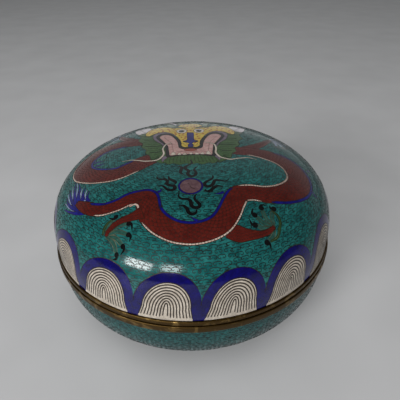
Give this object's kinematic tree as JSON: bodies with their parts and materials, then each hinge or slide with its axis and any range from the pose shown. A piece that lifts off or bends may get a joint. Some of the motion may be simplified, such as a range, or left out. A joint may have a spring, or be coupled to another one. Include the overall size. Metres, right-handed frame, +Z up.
{
  "type": "cloisonne enamel box",
  "caption": "Round lidded box of enamelled copper: full domed lid lifting off a deep bowl, brass bands at the seam and a brass foot ring.",
  "frame": {"origin": "centre of the circle that the foot ring stands on, at the bottom of the box", "axes": "+Z up along the axis that everything is turned about; -Y towards the front, the side that the dragon's picture is read from"},
  "size_m": [0.2, 0.2, 0.12],
  "materials": {
    "lid_enamel": "polished vitreous enamel over copper, teal ground with inlaid wires and a dragon",
    "bowl_enamel": "polished vitreous enamel over copper, teal ground with inlaid wires",
    "brass": "turned brass with a brown patina, rubbed bright on its edges"
  },
  "bodies": {
    "root": {"lid_shell": "lid_enamel", "lid_rim": "brass", "bowl_shell": "bowl_enamel", "bowl_rim": "brass", "foot_ring": "brass"}
  },
  "joints": []
}
